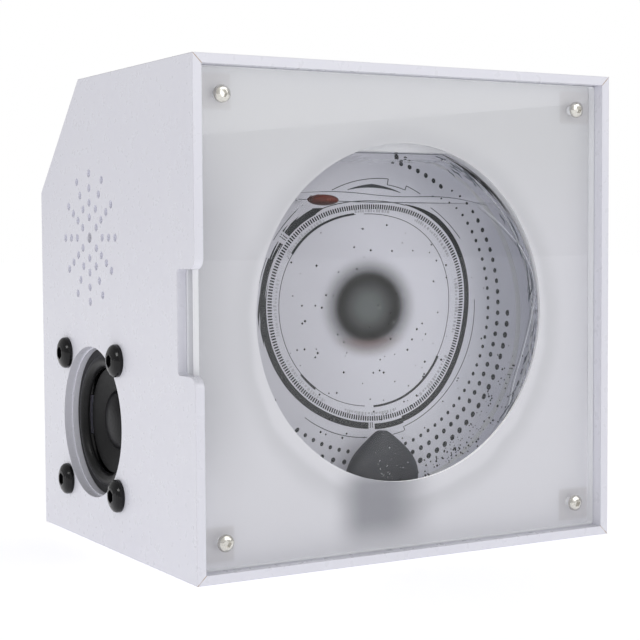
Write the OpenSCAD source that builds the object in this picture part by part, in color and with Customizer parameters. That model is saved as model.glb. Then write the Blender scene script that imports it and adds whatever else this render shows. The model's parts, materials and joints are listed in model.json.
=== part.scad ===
// Desktop ferrofluid speaker in the shape of a front-loading washer.
// Millimetres. +X right, +Y back, +Z up. The origin is on the resting plane, under the
// middle of the whole, from the front edge to the rear switch. The front faces -Y.

/* [Cabinet] */
// Width of the cabinet across its side panels
cab_w = 160; // [156:1:170]
// Height of the cabinet without its pads
cab_h = 160; // [158:1:170]
// Depth of the cabinet at its base
cab_d = 129; // [127:1:140]
// Depth of the flat part of the top
top_d = 91.3; // [89:0.1:94]
// Height lost along the sloping rear top
slope_drop = 38.2; // [36:0.1:40]
// Thickness of the acrylic panels
wall = 3; // [3:0.1:3.3]
// Thickness of the rubber pads under the base
pad_h = 1.2; // [0.8:0.1:1.5]

/* [Front] */
// Depth of the front panel behind the cabinet's front edge
recess = 4; // [3:0.1:4]
// Thickness of the clear front panel
glass_t = 3; // [2.8:0.1:3]
// Thickness of the frosted mask behind the front panel
mask_t = 1; // [0.8:0.1:1]
// Diameter of the round window in the mask
window_d = 111; // [100:1:114]
// Spacing of the front screws, centre to centre
screw_pitch = 137; // [136:0.5:138]
// Height of the finger notch in the left panel
notch_h = 32.5; // [20:0.5:40]
// Depth of the finger notch
notch_d = 12.4; // [8:0.1:14]

/* [Flask] */
// Outer radius of the round flask
flask_r = 59.4; // [56:0.1:60]
// Thickness of the flask, front to back
flask_t = 20.6; // [19:0.1:20.6]
// Thickness of the flask's glass
flask_wall = 2.2; // [1.5:0.1:3]
// Height of the flask's centre above the cabinet's base
flask_z = 77; // [76.5:0.1:77.5]
// Height of the liquid's level above the cabinet's base
level_z = 116.5; // [100:0.5:125]

/* [Speakers] */
// Diameter of the opening in each side panel
spk_hole_d = 52; // [51.6:0.1:53]
// Distance of the opening's centre behind the front edge
spk_y = 82.6; // [81:0.1:84]
// Height of the opening's centre above the cabinet's base
spk_z = 41.8; // [41:0.1:44]
// Spacing of the speaker's mounting screws
spk_pitch = 45.2; // [45:0.1:45.4]

/* [Vents] */
// Height of the middle of the vent pattern
vent_z = 105.3; // [104:0.1:108]
// Diameter of the holes along the spokes
vent_d = 2.7; // [2:0.1:3]

/* [Controls] */
// Diameter of the volume knob
knob_d = 22; // [18:0.5:24]
// Distance of each push button from the knob
button_x = 34; // [28:0.5:40]

/* [Hidden] */
$fn = 48;

// Clearance between faces that lie against each other
gap = 0.05;
in_w = cab_w / 2 - wall;
slope_run = cab_d - top_d;
slope_l = sqrt(pow(slope_run, 2) + pow(slope_drop, 2));
slope_a = atan2(slope_drop, slope_run);
mid_z = cab_h / 2;
screw_z = mid_z - screw_pitch / 2;
mask_y = recess + glass_t + gap;
flask_y0 = mask_y + mask_t + 0.4;
flask_yc = flask_y0 + flask_t / 2;
plate_y = flask_y0 + flask_t + 2;
plate_t = 2;
clear_w = 2 * in_w - 0.4;

// Screws, blocks and holes
bolt_r = 3;
block_w = 13;
block_h = 11;
rear_low = 11.5;
rear_high = 108;
bend = wall * tan(slope_a / 2);
bend_rear = wall * tan((90 - slope_a) / 2);

// Flask
dome_r = 14;
dome_y = 52.4;
dome_h = 15.9;
shoulder_r = 7;
neck_r = 9.5;
neck_end = 71;
cap_r = 10.3;
flat_drop = 55.5;

// Speakers
ring_t = 2.6;
flange_z = -wall - ring_t;

// Light, magnet and their bridge
board_t = 1.6;
led_y = 46;
standoff_pitch = 70;
magnet_y = plate_y + plate_t + 0.2;
magnet_l = 30.8;
bridge_y = magnet_y + magnet_l;
bridge_t = 3;
bridge_w = 80;
foot_l = 14;

// Controls and electronics
board_z = 9;
battery_r = 9.3;
battery_l = 65;
usb_x = 0;
usb_z = board_z + board_t + 1.6;
rocker_x = 52;
rocker_z = 60;
rocker_w = 13;
rocker_h = 19;
rocker_pivot = -0.6;
rocker_rise = 3.8;
bush_r = 3.5;
switch_r = 6;
cap_button_r = 4.4;
mic_r = 4.85;
mic_h = 6.7;
felt_r = 26;
felt_t = 1;

// Outer side profile of the cabinet as (depth, height), from the front bottom corner
profile = [[0, 0], [0, cab_h], [top_d, cab_h], [cab_d, cab_h - slope_drop], [cab_d, 0]];

// Places a child given in the cabinet's own frame: x from its middle, y from its front
// edge and z from its underside
module cab() translate([0, -(cab_d + rocker_rise) / 2, pad_h]) children();

// Child's +Z points out of the left panel, at the speaker's depth and the given height
module on_left(z) cab() translate([-cab_w / 2, spk_y, z]) rotate([0, -90, 0]) children();

// The same for either side panel. The right one is the left one mirrored.
module on_side(side, z)
    if (side == "left") on_left(z) children();
    else mirror([1, 0, 0]) on_left(z) children();

// Child's +Z points out of the slope and its +Y runs down it, from its middle
module on_slope() cab() translate([0, top_d + slope_run / 2, cab_h - slope_drop / 2])
    rotate([-slope_a, 0, 0]) children();

// Child's +Z points out of the rear panel and its +Y points up
module on_rear(x, z) cab() translate([x, cab_d, z]) rotate([90, 0, 180]) children();

// Child's +Z points back from the given depth, on the axis of the window
module on_axis(y) cab() translate([0, y, mid_z]) rotate([-90, 0, 0]) children();

module tube(r_out, r_in, h) difference() {
    cylinder(r = r_out, h = h);
    translate([0, 0, -1]) cylinder(r = r_in, h = h + 2);
}

module four(dx, dy) for (x = [-1, 1], y = [-1, 1]) translate([x * dx / 2, y * dy / 2, 0]) children();

// A flat square plate with rounded corners, w wide and t thick, upwards from z = 0
module plate(w, r, t) linear_extrude(t) {
    square([w, w - 2 * r], center = true);
    square([w - 2 * r, w], center = true);
    for (x = [-1, 1], y = [-1, 1]) translate([x, y] * (w / 2 - r)) circle(r);
}

// Points of an arc about (cx, cy), from angle a0 to a1 in n steps
function arc(cx, cy, r, a0, a1, n) =
    [for (i = [0:n]) let (a = a0 + (a1 - a0) * i / n) [cx + r * cos(a), cy + r * sin(a)]];

// A domed screw, head up from z = 0 and shank down, with a recess of sides corners
module screw(head_r, head_h, shank_r, shank_l, recess_r, sides) {
    rim = 0.3 * head_h;
    difference() {
        rotate_extrude() polygon(concat([[0, 0], [head_r, 0], [head_r, rim]],
            [for (i = [1:6]) let (a = 15 * i) [head_r * cos(a), rim + (head_h - rim) * sin(a)]]));
        translate([0, 0, 0.4 * head_h]) {
            if (sides == 6) cylinder(r = recess_r, h = head_h, $fn = 6);
            else for (a = [0, 90]) rotate(a)
                translate([-recess_r, -recess_r / 4, 0]) cube([2 * recess_r, recess_r / 2, head_h]);
        }
    }
    translate([0, 0, -shank_l]) cylinder(r = shank_r, h = shank_l);
}

// ---- Cabinet panels. All their joints are mitred ----

// A panel of length l between two bends, its outer face at z = 0 and its thickness below.
// Its inner face stops short of the ends by cut0 and cut1.
module mitred(l, cut0, cut1) intersection() {
    rotate([90, 0, 90]) translate([0, 0, -cab_w / 2]) linear_extrude(cab_w)
        polygon([[0, 0], [l, 0], [l - cut1, -wall], [cut0, -wall]]);
    translate([0, l, 0]) rotate([90, 0, 0]) linear_extrude(l)
        polygon([[-cab_w / 2, 0], [cab_w / 2, 0], [in_w, -wall], [-in_w, -wall]]);
}

// The left panel's plain blank. Each edge but the front one is bevelled at 45 degrees.
module side_blank() cab() translate([-cab_w / 2, 0, 0]) difference() {
    rotate([90, 0, 90]) linear_extrude(wall) polygon(profile);
    for (i = [1:4]) {
        a = profile[i];
        d = profile[(i + 1) % 5] - a;
        translate([0, a.x, a.y]) rotate([atan2(d.y, d.x), 0, 0])
            translate([0, norm(d) + 8, 0]) rotate([90, 0, 0]) linear_extrude(norm(d) + 16)
            polygon([[0, 0], [wall + 1, -wall - 1], [wall + 1, 1], [0, 1]]);
    }
}

// One larger hole with spokes of smaller ones about it
module vents() {
    cylinder(d = 3.6, h = 3 * wall, center = true);
    for (a = [0:60:300]) {
        for (r = [7:5:22]) rotate(a) translate([r, 0, 0])
            cylinder(d = vent_d, h = 3 * wall, center = true);
        for (r = [11.3:5.55:22.4]) rotate(a + 30) translate([r, 0, 0])
            cylinder(d = vent_d, h = 3 * wall, center = true);
    }
}

// The holes in a side panel, for its speaker and vents
module side_holes() {
    on_left(spk_z) {
        cylinder(d = spk_hole_d, h = 3 * wall, center = true, $fn = 96);
        four(spk_pitch, spk_pitch) cylinder(r = bolt_r + 0.2, h = 3 * wall, center = true);
    }
    on_left(vent_z) vents();
}

// The finger notch, in from the front edge, with rounded corners
module notch() {
    inner_r = 1.5;
    mouth_r = 3.5;
    cab() translate([-cab_w / 2 - 1, 0, mid_z - 0.6]) rotate([90, 0, 90]) linear_extrude(wall + 2) {
        translate([-1, -notch_h / 2]) square([notch_d + 1 - inner_r, notch_h]);
        translate([0, -notch_h / 2 + inner_r]) square([notch_d, notch_h - 2 * inner_r]);
        for (s = [-1, 1]) {
            translate([notch_d - inner_r, s * (notch_h / 2 - inner_r)]) circle(inner_r);
            scale([1, s]) difference() {
                translate([-1, notch_h / 2 - 1]) square([mouth_r + 1, mouth_r + 1]);
                translate([mouth_r, notch_h / 2 + mouth_r]) circle(mouth_r);
            }
        }
    }
}

module left_panel() color("white") difference() {
    side_blank();
    side_holes();
    notch();
}

module right_panel() color("white") mirror([1, 0, 0]) difference() {
    side_blank();
    side_holes();
}

module top_panel() color("white") cab() translate([0, 0, cab_h]) mitred(top_d, 0, bend);

module bottom_panel() color("white") cab() translate([0, cab_d, 0]) rotate([180, 0, 0])
    mitred(cab_d, wall, 0);

module slope_panel() color("white") difference() {
    cab() translate([0, top_d, cab_h]) rotate([-slope_a, 0, 0]) mitred(slope_l, bend, bend_rear);
    on_slope() {
        cylinder(r = bush_r + 0.1, h = 3 * wall, center = true);
        for (s = [-1, 1]) translate([s * button_x, 0, 0])
            cylinder(r = switch_r + 0.1, h = 3 * wall, center = true);
    }
}

module rear_panel() color("white") difference() {
    cab() translate([0, cab_d, cab_h - slope_drop]) rotate([-90, 0, 0])
        mitred(cab_h - slope_drop, bend_rear, wall);
    rear_screw_places() cylinder(r = 1.6, h = 3 * wall, center = true);
    on_rear(usb_x, usb_z) cube([10, 4.2, 3 * wall], center = true);
    on_rear(rocker_x, rocker_z) cube([rocker_w + 0.2, rocker_h + 0.2, 3 * wall], center = true);
}

// ---- Blocks and screws that hold the front and rear panels ----

module block_row(y, l, z_low, z_high, screw_low, screw_high) cab() for (s = [-1, 1], k = [0, 1])
    difference() {
        z = k == 0 ? z_low : z_high;
        hole_z = k == 0 ? screw_low : screw_high;
        translate([s > 0 ? in_w - block_w : -in_w, y, z]) cube([block_w, l, block_h]);
        translate([s * screw_pitch / 2, y - 1, hole_z]) rotate([-90, 0, 0])
            cylinder(r = 1.5, h = l + 2);
    }

module front_blocks() color("gainsboro")
    block_row(mask_y + mask_t, 12, screw_z - 6.5, cab_h - screw_z + 6.5 - block_h, screw_z,
        cab_h - screw_z);

module rear_blocks() color("gainsboro")
    block_row(cab_d - wall - 12, 12, rear_low - 5.5, rear_high - 5.5, rear_low, rear_high);

module rear_screw_places()
    for (s = [-1, 1], z = [rear_low, rear_high]) on_rear(s * screw_pitch / 2, z) children();

module front_screw_places() cab() for (s = [-1, 1], z = [screw_z, cab_h - screw_z])
    translate([s * screw_pitch / 2, recess, z]) rotate([90, 0, 0]) children();

module panel_screws() color("silver") {
    front_screw_places() screw(2.75, 1.8, 1.45, 12, 1.3, 6);
    rear_screw_places() screw(2.75, 1.8, 1.45, 12, 1.5, 4);
}

// ---- Front panel and mask ----

module front_sheet(y, t) difference() {
    on_axis(y) plate(clear_w, 1, t);
    front_screw_places() cylinder(r = 1.6, h = 4 * (glass_t + mask_t), center = true);
}

module front_panel() color("lightcyan", 0.3) front_sheet(recess, glass_t);

module window_mask() color("whitesmoke", 0.8) difference() {
    front_sheet(mask_y, mask_t);
    on_axis(mask_y - 1) cylinder(d = window_d, h = mask_t + 2, $fn = 128);
}

// ---- Flask, hung neck down, with a flat base that is now its top ----

module on_flask() cab() translate([0, flask_y0, flask_z]) rotate([-90, 0, 0]) children();

// The flask's form, drawn inset millimetres inside its outer surface. The neck runs
// along +Y, down the cabinet, as far as neck_end.
module flask_form(inset, neck_end) difference() {
    r = flask_r - inset;
    t = flask_t - inset;
    c = shoulder_r - inset;
    union() {
        rotate_extrude($fn = 128) polygon(concat([[0, inset]],
            arc(r - c, inset + c, c, -90, 0, 8), arc(r - c, t - c, c, 0, 90, 8), [[0, t]]));
        translate([0, flask_r - 12, flask_t / 2]) rotate([-90, 0, 0])
            cylinder(r = neck_r - inset, h = neck_end - flask_r + 12);
    }
    translate([-flask_r, -flask_r - flat_drop + inset, -1]) cube([2 * flask_r, flask_r, flask_t + 2]);
}

module flask() color("azure", 0.4) on_flask() difference() {
    flask_form(0, neck_end);
    flask_form(flask_wall, neck_end + 1);
}

// Outline of the magnetic liquid at rest: a dome with a slightly pointed top, over the neck
module ferro_body() translate([0, 0, flask_t * 0.3]) linear_extrude(flask_t)
    polygon(concat([[dome_r, neck_end], [-dome_r, neck_end]],
        [for (a = [0:12:180]) [-dome_r * cos(a) * (1 - 0.1 * sin(a)),
            dome_y - dome_h * (1 - pow(abs(a - 90) / 90, 1.7))]]));

module ferrofluid() color("#3a3c42") on_flask() intersection() {
    flask_form(flask_wall + gap, neck_end - gap);
    ferro_body();
}

module carrier_liquid() color("lavender", 0.3) on_flask() difference() {
    flask_form(flask_wall + gap, neck_end - gap);
    ferro_body();
    translate([-flask_r, -flask_r - (level_z - flask_z), -1]) cube([2 * flask_r, flask_r, flask_t + 2]);
}

module flask_cap() color("dimgray") on_flask() translate([0, neck_end - 9, flask_t / 2])
    rotate([-90, 0, 0]) difference() {
        cylinder(r = cap_r, h = 11.6);
        translate([0, 0, -1]) cylinder(r = neck_r + 0.1, h = 10.2);
    }

// A plate with a hole that the flask drops into, slotted below for its neck
module flask_frame(y, t) difference() {
    on_axis(y) plate(clear_w, 1, t);
    cab() translate([0, y - 1, flask_z]) rotate([-90, 0, 0]) intersection() {
        cylinder(r = flask_r + 0.3, h = t + 2, $fn = 128);
        translate([-flask_r - 1, -flat_drop - 0.3, 0]) cube([2 * flask_r + 2, 2 * flask_r, t + 2]);
    }
    cab() translate([-cap_r - 1, y - 1, 0]) cube([2 * cap_r + 2, t + 2, flask_z - 40]);
}

module front_flask_frame() color("gainsboro", 0.5) difference() {
    flask_frame(flask_y0 + 3, 3);
    cab() for (s = [-1, 1], z = [-1, cab_h - screw_z - 6])
        translate([s > 0 ? in_w - block_w - 0.4 : -in_w - 1, flask_y0, z])
            cube([block_w + 1.4, 10, screw_z + 6]);
}

module rear_flask_frame() color("gainsboro", 0.5) flask_frame(flask_y0 + flask_t - 6, 3);

// ---- Light and magnet behind the flask ----

module printed_plate() color("whitesmoke") on_axis(plate_y) plate(clear_w, 1, plate_t);

module led_board() color("white") on_axis(led_y) difference() {
    tube(55, 24, board_t);
    four(standoff_pitch, standoff_pitch) translate([0, 0, -1]) cylinder(r = 1.6, h = board_t + 2);
}

module leds() color("ivory") on_axis(led_y) for (i = [0:23]) rotate(i * 15) translate([40, 0, -0.8])
    cube([5, 5, 1.6], center = true);

module led_standoffs() color("goldenrod") on_axis(led_y + board_t)
    four(standoff_pitch, standoff_pitch) tube(3, 1.5, bridge_y - led_y - board_t);

module led_screws() color("silver") {
    on_axis(led_y) four(standoff_pitch, standoff_pitch) rotate([180, 0, 0])
        screw(2.75, 1.8, 1.45, 6, 1.5, 4);
    on_axis(bridge_y + bridge_t) four(standoff_pitch, standoff_pitch)
        screw(2.75, 1.8, 1.45, 8, 1.5, 4);
}

module magnet_shell() color("dimgray") on_axis(magnet_y) {
    tube(17, 14, magnet_l - 4);
    translate([0, 0, magnet_l - 4]) tube(17, 2.6, 4);
}

module magnet_core() color("gray") on_axis(magnet_y) difference() {
    cylinder(r = 6.5, h = magnet_l - 4);
    translate([0, 0, magnet_l - 14]) cylinder(r = 2.5, h = 11);
}

module magnet_coil() color("peru") on_axis(magnet_y + 1) tube(13.8, 6.7, magnet_l - 6);

module magnet_screw() color("silver") on_axis(bridge_y + bridge_t) screw(4.5, 2.5, 2.45, 15, 2.2, 6);

// A strap with a folded foot at each end, from the floor of the cabinet to its top
module magnet_bridge() color("silver") difference() {
    cab() {
        translate([-bridge_w / 2, bridge_y, wall]) cube([bridge_w, bridge_t, cab_h - 2 * wall]);
        for (z = [wall, cab_h - wall - bridge_t])
            translate([-bridge_w / 2, bridge_y + bridge_t - foot_l, z]) cube([bridge_w, foot_l, bridge_t]);
    }
    on_axis(bridge_y - 1) {
        cylinder(r = 2.6, h = bridge_t + 2);
        four(standoff_pitch, standoff_pitch) cylinder(r = 1.6, h = bridge_t + 2);
    }
}

// ---- Speakers, drawn with +Z out of the panel and z = 0 on its outer face ----

module spk_square(t, hole_r) difference() {
    plate(60, 4, t);
    translate([0, 0, -1]) cylinder(r = hole_r, h = t + 2, $fn = 96);
    four(spk_pitch, spk_pitch) translate([0, 0, -1]) cylinder(r = bolt_r + 0.2, h = t + 2);
}

module speaker_ring(side) color("white") on_side(side, spk_z) translate([0, 0, flange_z])
    spk_square(ring_t, 25.5);

module speaker_frame(side) color("#2a2a2c") on_side(side, spk_z) translate([0, 0, flange_z]) {
    translate([0, 0, -1.2]) spk_square(1.2, 23.6);
    difference() {
        rotate_extrude() polygon([[23.6, -1.2], [24.8, -1.2], [21.4, -10], [21.4, -11],
            [19.4, -15.4], [8.4, -15.4], [8.4, -14.4], [18.6, -14.4], [19.9, -11], [17.8, -11],
            [17.8, -10], [20.3, -10]]);
        for (a = [0:90:270]) rotate(a) translate([15, -7, -8]) cube([15, 14, 5]);
    }
}

module speaker_motor(side) color("#4a4a4e") on_side(side, spk_z) translate([0, 0, flange_z - 15.4]) {
    translate([0, 0, -3]) tube(19, 7.9, 3);
    translate([0, 0, -12]) tube(20, 10, 9);
    translate([0, 0, -15]) tube(19, 2, 3);
    translate([0, 0, -12]) tube(6, 2, 12.4);
}

module speaker_surround(side) color("#161617") on_side(side, spk_z) translate([0, 0, flange_z])
    rotate_extrude() polygon(concat([[25.3, 0], [25.3, 0.6], [23.3, 0.6]],
        arc(20.9, -0.9, 2.5, 35, 180, 10), arc(20.9, -0.9, 2.1, 180, 26, 10)));

module speaker_spider(side) color("#6b5836") on_side(side, spk_z) translate([0, 0, flange_z - 10])
    rotate_extrude() polygon(concat([for (r = [7.2:0.7:19.8]) [r, 0.7 + 0.3 * cos(r * 150)]],
        [for (r = [19.8:-0.7:7.2]) [r, 0.3 + 0.3 * cos(r * 150)]]));

module speaker_cone(side) color("#1d1d1f") on_side(side, spk_z) translate([0, 0, flange_z])
    rotate_extrude() polygon([[6.9, -6.6], [10.7, -5.1], [14.4, -3.5], [18.2, -2], [18.2, -2.6],
        [14.4, -4.1], [10.7, -5.7], [6.9, -7.2]]);

module dust_cap(side) color("#333336") on_side(side, spk_z) translate([0, 0, flange_z - 5])
    rotate_extrude() polygon(concat([for (a = [0:10:90]) [10.6 * cos(a), 3.8 * sin(a)]],
        [for (a = [90:-10:0]) [10.1 * cos(a), 3.3 * sin(a)]]));

module voice_coil(side) color("peru") on_side(side, spk_z) translate([0, 0, flange_z]) {
    translate([0, 0, -21]) tube(6.9, 6.7, 14.4);
    translate([0, 0, -19.6]) tube(7.5, 6.9, 4.6);
}

module speaker_screws() color("#101012") for (side = ["left", "right"])
    on_side(side, spk_z) four(spk_pitch, spk_pitch) screw(5.5, 3.2, bolt_r, 13, 2.3, 6);

module speaker_nuts() color("#101012") for (side = ["left", "right"])
    on_side(side, spk_z) four(spk_pitch, spk_pitch) translate([0, 0, flange_z - 1.2 - 5]) difference() {
        cylinder(r = 5.77, h = 5, $fn = 6);
        translate([0, 0, -1]) cylinder(r = bolt_r + 0.05, h = 7);
    }

module vent_felts() color("lightgray") {
    on_side("left", vent_z) translate([0, 0, -wall - felt_t]) tube(felt_r, mic_r + 0.2, felt_t);
    on_side("right", vent_z) translate([0, 0, -wall - felt_t]) cylinder(r = felt_r, h = felt_t);
}

module microphone() color("silver") on_side("left", vent_z) translate([0, 0, -wall - mic_h])
    cylinder(r = mic_r, h = mic_h);

// ---- Electronics ----

// The bare board with its chip, coils, capacitors and plug headers on top
module amp_board() color("seagreen") cab() {
    difference() {
        translate([-35, 97, board_z]) cube([70, 28, board_t]);
        amp_hole_places() translate([0, 0, board_z - 1]) cylinder(r = 1.6, h = board_t + 2);
    }
    translate([0, 0, board_z + board_t]) {
        translate([-6, 103, 0]) cube([10, 10, 1.5]);
        for (x = [-22, 20]) translate([x, 104, 0]) cylinder(r = 4, h = 9);
        for (x = [-20, -12, 12, 20]) translate([x - 3, 112, 0]) cube([6, 6, 4]);
        for (x = [-25, 17]) translate([x, 119, 0]) cube([8, 5, 6]);
    }
}

module amp_hole_places() translate([0, 111, 0]) four(62, 20) children();

module amp_standoffs() color("ivory") cab() amp_hole_places() translate([0, 0, wall])
    tube(3, 1.2, board_z - wall);

module battery_holder() color("#202022") cab() difference() {
    translate([-39, 72, wall]) cube([78, 22, 16]);
    translate([-battery_l / 2 - 1, 83, wall + 11.5]) rotate([0, 90, 0])
        cylinder(r = battery_r + 0.2, h = battery_l + 2);
    translate([-battery_l / 2 - 1, 83 - battery_r - 0.2, wall + 11.5])
        cube([battery_l + 2, 2 * battery_r + 0.4, 10]);
}

module battery_cell() color("steelblue") cab() translate([-battery_l / 2, 83, wall + 11.5])
    rotate([0, 90, 0]) cylinder(r = battery_r, h = battery_l);

// A metal sleeve on the board, with its tongue, that ends flush with the rear panel
module usb_socket() color("silver") on_rear(usb_x, usb_z) translate([0, 0, -7.6]) {
    difference() {
        linear_extrude(7.4) square([8.9, 3.2], center = true);
        translate([0, 0, 1]) linear_extrude(7.4) square([8.3, 2.6], center = true);
    }
    linear_extrude(6.4) square([6.6, 0.7], center = true);
}

module power_switch() color("#18181a") on_rear(rocker_x, rocker_z) difference() {
    union() {
        linear_extrude(2) square([rocker_w + 2, rocker_h + 2], center = true);
        translate([0, 0, -12]) linear_extrude(12) square([rocker_w, rocker_h], center = true);
    }
    translate([0, 0, -8]) linear_extrude(12) square([rocker_w - 3, rocker_h - 3], center = true);
    rocker_pin(rocker_w - 1.6, 1.05);
}

// The pin that the rocker tips on, along the switch's X
module rocker_pin(l, r) translate([-l / 2, 0, rocker_pivot]) rotate([0, 90, 0]) cylinder(r = r, h = l);

module power_rocker() color("#303034") on_rear(rocker_x, rocker_z) {
    rotate([90, 0, 90]) translate([0, 0, -rocker_w / 2 + 2]) linear_extrude(rocker_w - 4) polygon([
        [-6.9, rocker_rise], [-0.2, 2.2], [6.9, 2.2], [6.9, 0], [3, -3.6], [-3, -3.6], [-6.9, 0]]);
    rocker_pin(rocker_w - 2, 1);
}

module volume_pot() color("darkgray") on_slope() {
    difference() {
        translate([0, 0, -wall]) {
            translate([0, 0, -8]) cylinder(r = 8, h = 8);
            cylinder(r = bush_r, h = wall + 3);
        }
        translate([0, 0, -wall - 5]) cylinder(r = 3.05, h = 20);
    }
    difference() {
        cylinder(r = 5.6, h = 2, $fn = 6);
        translate([0, 0, -1]) cylinder(r = bush_r + gap, h = 4);
    }
}

// A fluted knob on its shaft, hollow below to clear the nut, with a pointer groove
module volume_knob() color("#e8e8ec") on_slope() {
    difference() {
        translate([0, 0, 0.8]) rotate_extrude() polygon([[0, 2.6], [7.5, 2.6], [7.5, 0],
            [knob_d / 2, 0], [knob_d / 2, 14.2], [knob_d / 2 - 1, 15.2], [0, 15.2]]);
        for (a = [0:15:345]) rotate(a) translate([knob_d / 2 + 0.5, 0, 2.4]) cylinder(r = 0.9, h = 20);
        translate([-0.5, -knob_d / 2 - 1, 15.2]) cube([1, 6, 3]);
    }
    translate([0, 0, -wall - 4.8]) cylinder(r = 3, h = 8.2 + wall);
}

// The fixed bodies of the two push switches
module button_switches() color("silver") on_slope() for (s = [-1, 1]) translate([s * button_x, 0, 0])
    difference() {
        union() {
            translate([0, 0, -wall - 10]) cylinder(r = switch_r, h = wall + 10);
            cylinder(r = switch_r + 1.2, h = 1.6);
        }
        translate([0, 0, -wall - 5]) cylinder(r = cap_button_r + 0.1, h = 20);
    }

module push_button(s) color("#d8d8dc") on_slope() translate([s * button_x, 0, -wall - 3])
    cylinder(r = cap_button_r, h = wall + 6);

module mode_button() push_button(-1);

module pair_button() push_button(1);

module foot_pads() color("#202020") cab() translate([0, cab_d / 2, -pad_h])
    four(cab_w - 36, cab_d - 36) cylinder(r = 6, h = pad_h);

left_panel();
right_panel();
top_panel();
bottom_panel();
slope_panel();
rear_panel();
front_blocks();
rear_blocks();
front_panel();
window_mask();
panel_screws();
flask();
carrier_liquid();
ferrofluid();
flask_cap();
front_flask_frame();
rear_flask_frame();
printed_plate();
led_board();
leds();
led_standoffs();
led_screws();
magnet_shell();
magnet_coil();
magnet_core();
magnet_bridge();
magnet_screw();
speaker_ring("left");  // left_speaker_ring
speaker_frame("left");  // left_speaker_frame
speaker_motor("left");  // left_speaker_motor
speaker_surround("left");  // left_speaker_surround
speaker_spider("left");  // left_speaker_spider
speaker_cone("left");  // left_speaker_cone
dust_cap("left");  // left_dust_cap
voice_coil("left");  // left_voice_coil
speaker_ring("right");  // right_speaker_ring
speaker_frame("right");  // right_speaker_frame
speaker_motor("right");  // right_speaker_motor
speaker_surround("right");  // right_speaker_surround
speaker_spider("right");  // right_speaker_spider
speaker_cone("right");  // right_speaker_cone
dust_cap("right");  // right_dust_cap
voice_coil("right");  // right_voice_coil
speaker_screws();
speaker_nuts();
vent_felts();
microphone();
amp_board();
amp_standoffs();
battery_cell();
battery_holder();
usb_socket();
power_switch();
power_rocker();
volume_pot();
volume_knob();
button_switches();
mode_button();
pair_button();
foot_pads();
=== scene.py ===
"""Looks of a desktop ferrofluid speaker shaped like a front-loading washer."""
import json
import math
import random

import bpy
from mathutils import Matrix, Vector

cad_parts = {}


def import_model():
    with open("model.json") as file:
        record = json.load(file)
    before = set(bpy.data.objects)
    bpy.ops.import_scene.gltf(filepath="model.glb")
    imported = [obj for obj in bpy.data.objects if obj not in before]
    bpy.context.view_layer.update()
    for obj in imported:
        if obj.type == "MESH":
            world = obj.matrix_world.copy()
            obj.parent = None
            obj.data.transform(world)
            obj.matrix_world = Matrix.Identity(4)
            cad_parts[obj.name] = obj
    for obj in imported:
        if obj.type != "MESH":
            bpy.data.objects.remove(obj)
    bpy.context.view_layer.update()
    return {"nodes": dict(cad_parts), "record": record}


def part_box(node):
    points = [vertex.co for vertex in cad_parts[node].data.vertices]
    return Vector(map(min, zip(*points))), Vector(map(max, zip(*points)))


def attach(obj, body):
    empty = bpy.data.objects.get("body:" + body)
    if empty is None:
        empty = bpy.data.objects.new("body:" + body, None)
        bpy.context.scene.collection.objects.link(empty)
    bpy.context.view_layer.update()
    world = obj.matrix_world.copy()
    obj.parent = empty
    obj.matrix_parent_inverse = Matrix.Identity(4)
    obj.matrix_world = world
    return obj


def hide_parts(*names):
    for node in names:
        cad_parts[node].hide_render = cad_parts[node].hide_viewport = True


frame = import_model()
nodes = frame["nodes"]
scene = bpy.context.scene

# ---------------------------------------------------------------------------------------
# Places. Lengths below are millimetres in the cabinet's own frame: x from its middle,
# y back from its front edge and z up from its underside.
# ---------------------------------------------------------------------------------------

MM = 0.001
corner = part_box("left_panel")[0]
CAB_W = (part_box("right_panel")[1].x - corner.x) / MM
CAB_H = (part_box("top_panel")[1].z - corner.z) / MM


def cab(x, y, z):
    """A place in the cabinet's own frame as a place in the row frame, in metres."""
    return corner + Vector((x + CAB_W / 2, y, z)) * MM


def depth(y):
    """A row-frame y in metres as millimetres behind the cabinet's front edge."""
    return (y - corner.y) / MM


MID_Z = CAB_H / 2
PLATE_Y = depth(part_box("printed_plate")[0].y)
MASK_Y = depth(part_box("window_mask")[0].y)
FLASK_Y = depth(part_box("flask")[0].y)
FLASK_T = depth(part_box("flask")[1].y) - FLASK_Y
FLASK_R = (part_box("flask")[1].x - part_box("flask")[0].x) / 2 / MM
FLASK_Z = 77.0
FLASK_TOP_Z = (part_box("flask")[1].z - corner.z) / MM
GLASS_T = 2.2
LEVEL_Z = (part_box("carrier_liquid")[1].z - corner.z) / MM
# Where the corner blocks start across and up from the cabinet's middle, and where they end
BLOCK_X = 64.0
BLOCK_Z = (64.0, 75.0)
# The stray drop of magnetic liquid: its middle and its half sizes
DROP = (-25.6, 17.0, 117.05)
DROP_SIZE = (5.7, 2.4, 1.8)
# The magnet's core, where its painted shadow shows on the plate
CORE = (0.3, 81.2)
WHITE = (1, 1, 1, 1)


# ---------------------------------------------------------------------------------------
# Materials
# ---------------------------------------------------------------------------------------


def srgb(r, g, b):
    """A linear colour from display values of 0 to 255."""
    def linear(v):
        v /= 255
        return v / 12.92 if v <= 0.04045 else ((v + 0.055) / 1.055) ** 2.4

    return (linear(r), linear(g), linear(b), 1.0)


def set_input(tree, socket, value):
    """Links a socket or sets a plain value."""
    if isinstance(value, bpy.types.NodeSocket):
        tree.links.new(value, socket)
    else:
        socket.default_value = value


def add(tree, kind, inputs=None, **settings):
    """A shader node. inputs is a dict by name, or a list in the sockets' order."""
    node = tree.nodes.new("ShaderNode" + kind)
    for key, value in settings.items():
        setattr(node, key, value)
    if isinstance(inputs, dict):
        for key, value in inputs.items():
            set_input(tree, node.inputs[key], value)
    elif inputs is not None:
        for socket, value in zip(node.inputs, inputs):
            set_input(tree, socket, value)
    return node


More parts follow.
